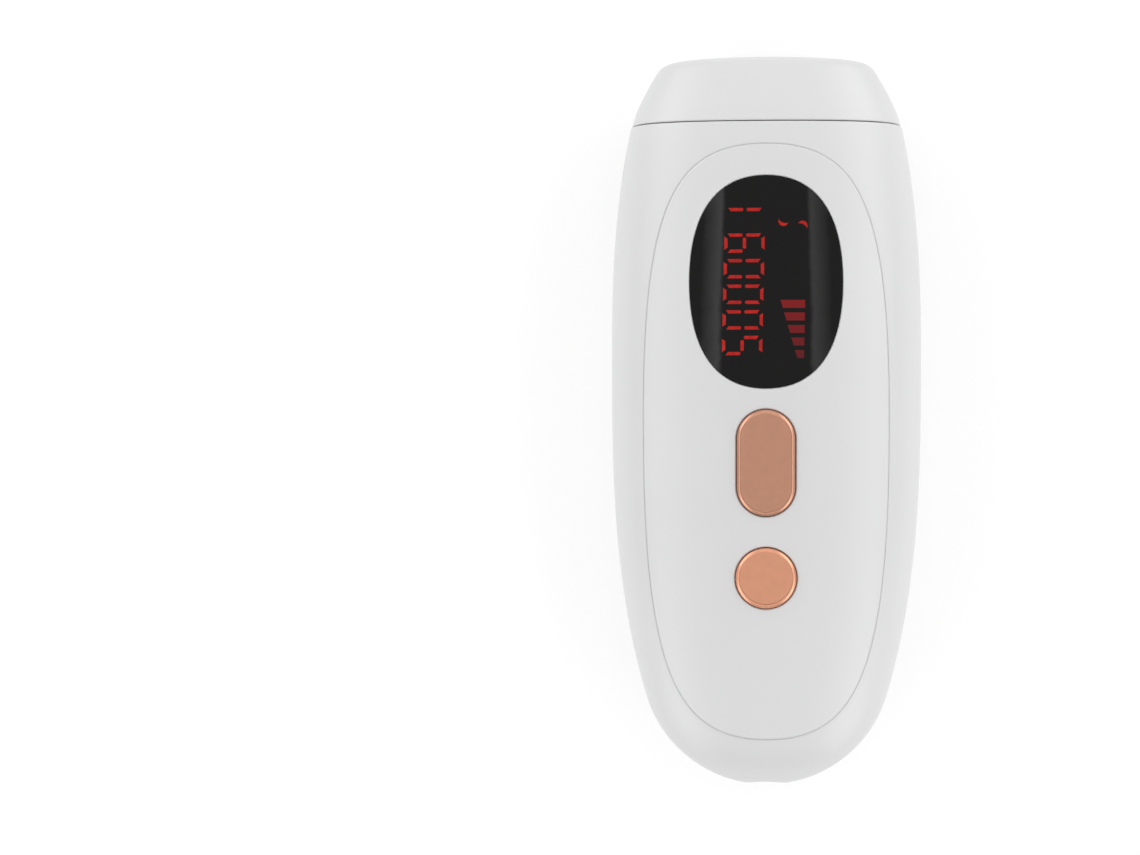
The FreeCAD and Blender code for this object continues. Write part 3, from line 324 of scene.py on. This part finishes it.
def label_film():
    """A blank silver-grey film with a thin printed border."""
    material, tree, shader = new_material("label_film")
    low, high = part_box("rating_label")
    point = axes(tree)
    insets = []
    for axis in (0, 1):
        middle, half = (low[axis] + high[axis]) / 2, (high[axis] - low[axis]) / 2
        away = math_node(tree, "ABSOLUTE", math_node(tree, "SUBTRACT", point[axis], middle))
        insets.append(math_node(tree, "SUBTRACT", half, away))
    inset = math_node(tree, "MINIMUM", *insets)
    past_start = math_node(tree, "GREATER_THAN", inset, BORDER_INSET)
    before_end = math_node(tree, "LESS_THAN", inset, BORDER_INSET + BORDER_WIDTH)
    line = math_node(tree, "MULTIPLY", past_start, before_end)
    colour = ramp(tree, line, [(0.0, (0.60, 0.60, 0.61)), (1.0, (0.18, 0.18, 0.19))])
    tree.links.new(colour, shader.inputs["Base Color"])
    roughen(tree, shader, noise(tree, 900.0), 0.38, 0.5)
    bump(tree, shader, noise(tree, 1500.0), 0.004 * MM, 0.5)
    return material


def lit_under_gloss(name, colour_of):
    """A lit shape under the lens's gloss: colour_of(tree) gives the colour that it shines in."""
    material, tree, shader = new_material(name)
    mottled(tree, shader, LENS_COLOUR, 25.0, 0.03)
    tree.links.new(colour_of(tree), shader.inputs["Emission Color"])
    shader.inputs["Emission Strength"].default_value = 1.0
    roughen(tree, shader, noise(tree, 90.0), 0.03, 0.06)
    shader.inputs["IOR"].default_value = LENS_IOR
    return material


def glowing(name, dim, bright):
    """A lit display stroke, a little uneven."""
    return lit_under_gloss(name, lambda tree: ramp(tree, noise(tree, 900.0), [(0.35, dim), (0.65, bright)]))


def bar_colour(tree):
    """Darker towards the socket end, with faint fine lines 0.9 mm apart."""
    point = axes(tree)
    from_end = math_node(tree, "SUBTRACT", point["Y"], LENS_LOW.y)
    rise = math_node(tree, "DIVIDE", from_end, LENS_HIGH.y - LENS_LOW.y)
    lines = math_node(tree, "SINE", math_node(tree, "MULTIPLY", point["X"], math.tau / (0.9 * MM)))
    mixed = math_node(tree, "ADD", rise, math_node(tree, "MULTIPLY", lines, 0.012))
    return ramp(tree, mixed, [(0.13, (0.10, 0.003, 0.006)), (0.42, (0.21, 0.004, 0.006))])


# ---------------------------------------------------------------- dress the CAD nodes
def dress(material, *names):
    for name in names:
        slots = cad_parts[name].data.materials
        slots.clear()
        slots.append(material)


def button_facts(name):
    """A button's middle, half the length of its straight sides, and the radius of its round ends."""
    low, high = (Vector(corner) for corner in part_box(name))
    centre = (low + high) / 2
    radius = (high.x - low.x) / 2 - BUTTON_FLANGE
    straight = (high.y - low.y) / 2 - BUTTON_FLANGE - radius
    return centre, max(straight, 0.0), radius


def dress_all():
    dress(white_casing(), "front_shell", "rear_shell", "head_shell")
    dress(smoked_lens(), "display_lens")
    # The power button gets a lighter, painted-light copy of the flash button's rose gold.
    for name, colour in BUTTON_PAINT_AND_LIGHT.items():
        centre, straight, radius = button_facts(name)
        dress(rose_gold(f"{name}_paint", centre, straight, radius - BUTTON_RIM, colour), name)
    dress(label_film(), "rating_label")
    grey = moulded("grey_plastic", (0.42, 0.42, 0.43), 0.42)
    dress(grey, "window_bezel", "lamp_dock", "head_base", "filter_frame")
    black = moulded("black_plastic", (0.018, 0.018, 0.019), 0.45)
    dress(black, "led_display", "fan_frame", "flash_switch", "power_switch", "buzzer", "contact_block")
    dress(black, "ui_chip", "controller_chip", "power_transistor", "air_duct")
    dress(black, "ribbon_connectors", "trigger_coil")
    dress(moulded("fan_plastic", (0.022, 0.022, 0.024), 0.32), "fan_rotor")
    dress(moulded("socket_plastic", (0.012, 0.012, 0.013), 0.38), "inlet_collar", "dc_jack")
    plunger = moulded("plunger_plastic", (0.35, 0.03, 0.025), 0.4)
    dress(plunger, "flash_switch_plunger", "power_switch_plunger")
    dress(circuit_board(), "ui_board", "main_board")
    zinc = metal("zinc_steel", (0.55, 0.55, 0.57), 0.30)
    dress(zinc, "housing_screws", "ui_board_screws", "main_board_screws", "fan_screws", "capacitor_leads")
    dress(zinc, "lamp_electrodes")
    dress(metal("polished_steel", (0.62, 0.62, 0.64), 0.14), "skin_sensors")
    dress(metal("bright_brass", (0.72, 0.50, 0.20), 0.22), "dock_contacts", "head_contact_pins")
    dress(metal("nickel", (0.58, 0.56, 0.52), 0.20), "dc_jack_pin", "lamp_terminals")
    dress(moulded("capacitor_sleeve", (0.015, 0.022, 0.075), 0.25, 900.0, 0.02), "flash_capacitors")
    dress(moulded("small_capacitor_sleeve", (0.02, 0.02, 0.022), 0.25), "filter_capacitor")
    dress(moulded("ferrite", (0.045, 0.045, 0.048), 0.55, 1800.0, 0.05), "transformer_core")
    dress(banded("winding_tape", (0.55, 0.34, 0.03), "Y", 3.2 * MM, 0.35), "transformer_winding")
    dress(metal("heatsink_aluminium", (0.60, 0.60, 0.62), 0.34, (1.0, 12.0, 1.0)), "power_heatsink")
    dress(metal("mirror_aluminium", (0.80, 0.80, 0.82), 0.12, (0.1, 6.0, 6.0)), "reflector")
    dress(moulded("terminal_plastic", (0.03, 0.16, 0.06), 0.4), "lamp_terminal_block")
    dress(banded("copper_winding", (0.58, 0.22, 0.09), "Z", 0.5 * MM, 0.3, 1.0), "fan_motor")
    silicone = moulded("red_silicone", (0.38, 0.02, 0.016), 0.45, 1400.0)
    dress(silicone, "lamp_cables", "fan_leads", "jack_leads")
    dress(banded("ribbon_grey", (0.38, 0.38, 0.40), "X", 0.6 * MM, 0.5), "ribbon_cable")
    dress(see_through("fuse_glass", (0.90, 0.94, 0.94), 0.02, 1.5), "supply_fuse")
    dress(see_through("lamp_quartz", (0.95, 0.96, 0.98), 0.01, 1.46), "xenon_lamp")
    dress(moulded("lamp_ceramic", (0.72, 0.71, 0.67), 0.5, 1500.0, 0.03), "lamp_holders")
    dress(see_through("amber_filter", (0.86, 0.36, 0.10), 0.02, 1.52), "filter_glass")
    dress(moulded("black_rubber", (0.012, 0.012, 0.012), 0.65, 1200.0), "window_gasket")


# ---------------------------------------------------------------- display graphics
def surface_of(name):
    """Finds the top of a CAD node's mesh above any point in plan."""
    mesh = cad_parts[name].data
    tree = BVHTree.FromPolygons([v.co for v in mesh.vertices], [p.vertices for p in mesh.polygons])

    def height(x, y):
        hit = tree.ray_cast(Vector((x, y, 1.0)), Vector((0, 0, -1)))[0]
        return hit.z

    return height


def divided(edge, parts):
    """The points of an open line, with every run split into equal parts."""
    points = []
    for start, end in zip(edge, edge[1:]):
        start, end = Vector(start), Vector(end)
        points += [start.lerp(end, i / parts) for i in range(parts)]
    return points + [Vector(edge[-1])]


def lit_piece(name, ribbons, material, height, parts=1):
    """Thin shapes laid on the lens. Each ribbon is two edges with as many points as each other."""
    mesh = bpy.data.meshes.new(name)
    points, faces = [], []
    for ribbon in ribbons:
        upper, lower = (divided(edge, parts) for edge in ribbon)
        start, count = len(points), len(upper)
        points += [(x, y, height(x, y) + GRAPHIC_LIFT) for x, y in upper + lower]
        for i in range(start, start + count - 1):
            faces.append((i, i + count, i + count + 1, i + 1))
    mesh.from_pydata(points, [], faces)
    mesh.materials.append(material)
    piece = bpy.data.objects.new(name, mesh)
    bpy.context.collection.objects.link(piece)
    skin = piece.modifiers.new("skin", "SOLIDIFY")
    skin.thickness = GRAPHIC_LIFT
    skin.offset = -1.0
    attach(piece, "casing")


def stroke_end(pointed):
    """The outer and inner corners of a stroke's end, from its outermost points inwards."""
    half, thick = STROKE_LENGTH / 2, STROKE / 2
    blunt = BLUNT_SHARE * thick
    if pointed:
        outer = [(half, thick), (half - STROKE_TIP, thick)]
        inner = [(half - STROKE_TIP, blunt), (half - STROKE_BEVEL, -thick)]
    else:
        outer = [(half, blunt), (half - STROKE_TIP, thick)]
        inner = [(half, -blunt), (half - STROKE_TIP, -thick)]
    return outer, inner


def stroke_ribbon(pointed_start, pointed_end):
    """One stroke along u. Its outer edge is the upper one."""
    outer_start, inner_start = ([(-u, v) for u, v in edge] for edge in stroke_end(pointed_start))
    outer_end, inner_end = stroke_end(pointed_end)
    return outer_start + outer_end[::-1], inner_start + inner_end[::-1]


# For each stroke: where its middle is, as shares of the half-width and half-height, how far it's turned,
# which of its ends are pointed, and its length as a share of the longest.
STROKES = {
    "a": (0.0, 1.0, 0.0, (True, True), 0.9),
    "g": (0.0, 0.0, 0.0, (False, False), 0.72),
    "d": (0.0, -1.0, 180.0, (True, True), 0.9),
    "b": (1.0, 0.5, -90.0, (True, False), 1.0),
    "c": (1.0, -0.5, -90.0, (False, True), 1.0),
    "f": (-1.0, 0.5, 90.0, (False, True), 1.0),
    "e": (-1.0, -0.5, 90.0, (True, False), 1.0),
}


def digits(height):
    """The counter reads along +Y, so a digit's top points to -X."""
    light = glowing("segment_light", (0.36, 0.006, 0.004), (0.50, 0.010, 0.006))
    for order, digit in enumerate(READING):
        centre = LENS_MIDDLE.xy + FIRST_DIGIT + Vector((order * DIGIT_DRIFT, order * DIGIT_PITCH))
        ribbons = []
        for letter in LIT[digit]:
            right, up, turn, pointed, share = STROKES[letter]
            middle = Vector((right * DIGIT_WIDTH / 2, up * DIGIT_HEIGHT / 2))
            spin = Matrix.Rotation(math.radians(turn), 2)
            edges = []
            for edge in stroke_ribbon(*pointed):
                points = [middle + spin @ Vector((u * share, v)) for u, v in edge]
                edges.append([(centre.x - point.y, centre.y + point.x) for point in points])
            ribbons.append(edges)
        lit_piece(f"counter_digit_{order + 1}", ribbons, light, height, 2)


def level_bars(height):
    """Bars that get shorter towards the socket end."""
    light = lit_under_gloss("level_bar_light", bar_colour)
    for i in range(BAR_COUNT):
        top = LENS_MIDDLE.y + BARS_TOP - i * BAR_PITCH
        left = LENS_MIDDLE.x + BARS_LEFT + i * BARS_LEFT_STEP
        right = LENS_MIDDLE.x + BARS_RIGHT + i * BARS_RIGHT_STEP
        upper = [(left, top), (right, top)]
        lower = [(left + BAR_SLANT, top - BAR_TALL), (right, top - BAR_TALL)]
        lit_piece(f"level_bar_{i + 1}", [(upper, lower)], light, height, 8)


def crescents(height):
    """Two small moons above the level bars, each with its thick middle turned its own way."""
    light = glowing("crescent_light", (0.38, 0.006, 0.004), (0.50, 0.012, 0.006))
    steps, chord = 14, math.cos(MOON_HALF_TURN)
    for name, (x, y, turn) in MOONS.items():
        middle = LENS_MIDDLE.xy + Vector((x, y))
        toward = Vector((math.cos(turn), math.sin(turn)))
        across = Vector((-toward.y, toward.x))
        edges = []
        for fullness in MOON_FULLNESS:
            edge = []
            for i in range(steps + 1):
                angle = MOON_HALF_TURN * (2 * i / steps - 1)
                rise = chord + fullness * (math.cos(angle) - chord)
                edge.append(middle + (across * math.sin(angle) + toward * rise) * MOON_RADIUS)
            edges.append(edge)
        lit_piece(name, [edges], light, height)


# ---------------------------------------------------------------- stage
def floor():
    """A pale studio sheet just under the device. It glows evenly and reaches far past every view."""
    bpy.ops.mesh.primitive_plane_add(size=FLOOR_SIZE, location=(0, 0, CAD_BOX[0][2] - 0.1 * MM))
    sheet = bpy.context.object
    sheet.name = "studio_floor"
    material, tree, shader = new_material("studio_floor")
    mottled(tree, shader, (0.35, 0.35, 0.35), 3.0, 0.004)
    shader.inputs["Emission Color"].default_value = (1.0, 1.0, 1.0, 1.0)
    shader.inputs["Emission Strength"].default_value = FLOOR_GLOW
    shader.inputs["Roughness"].default_value = 0.9
    shader.inputs["Specular IOR Level"].default_value = 0.1
    sheet.data.materials.append(material)


def camera():
    """Over the device and turned to its left, so the device shows right of the picture's middle."""
    data = bpy.data.cameras.new("camera")
    data.sensor_width = SENSOR
    turn = math.atan2(AIM_LEFT, CAMERA_DISTANCE)
    data.lens = SENSOR * CAMERA_DISTANCE / VIEW_WIDTH * math.cos(turn)
    data.clip_start, data.clip_end = 0.05, 20.0
    thing = bpy.data.objects.new("camera", data)
    thing.location = (0.0, CAMERA_Y, WIDEST_Z + CAMERA_DISTANCE)
    thing.rotation_euler = (0.0, turn, 0.0)
    bpy.context.collection.objects.link(thing)
    bpy.context.scene.camera = thing


def leaning(tree, lean, stops):
    """Brightness as a share of the brightest, from how far a direction leans along one axis."""
    share = math_node(tree, "ADD", math_node(tree, "MULTIPLY", lean, 0.5), 0.5)
    greys = [((at + 1) / 2, (value / ROOM_BRIGHTEST,) * 3) for at, value in stops]
    return ramp(tree, share, greys)


def world_light():
    """A white room: soft boxes and narrow strips beside the device, a glow past its ends, a dim ceiling."""
    world = bpy.data.worlds.new("studio")
    world.use_nodes = True
    bpy.context.scene.world = world
    tree = world.node_tree
    background = tree.nodes["Background"]
    direction = axes(tree, add(tree, "ShaderNodeTexCoord").outputs["Generated"])
    across, along = direction["X"], direction["Y"]
    bend = math_node(tree, "MULTIPLY", math_node(tree, "MULTIPLY", along, along), STRIP_BOW)
    bowed = math_node(tree, "MULTIPLY", across, math_node(tree, "ADD", bend, 1.0))
    light = leaning(tree, across, SOFT_BOXES)
    for lean, stops in ((bowed, NARROW_STRIPS), (along, END_GLOW)):
        both = add(tree, "ShaderNodeVectorMath", operation="ADD")
        tree.links.new(light, both.inputs[0])
        tree.links.new(leaning(tree, lean, stops), both.inputs[1])
        light = both.outputs[0]
    tree.links.new(light, background.inputs["Color"])
    background.inputs["Strength"].default_value = ROOM_BRIGHTEST


def main():
    bpy.context.scene.view_settings.view_transform = "Standard"
    camera()
    floor()
    world_light()
    dress_all()
    height = surface_of("display_lens")
    digits(height)
    level_bars(height)
    crescents(height)


main()
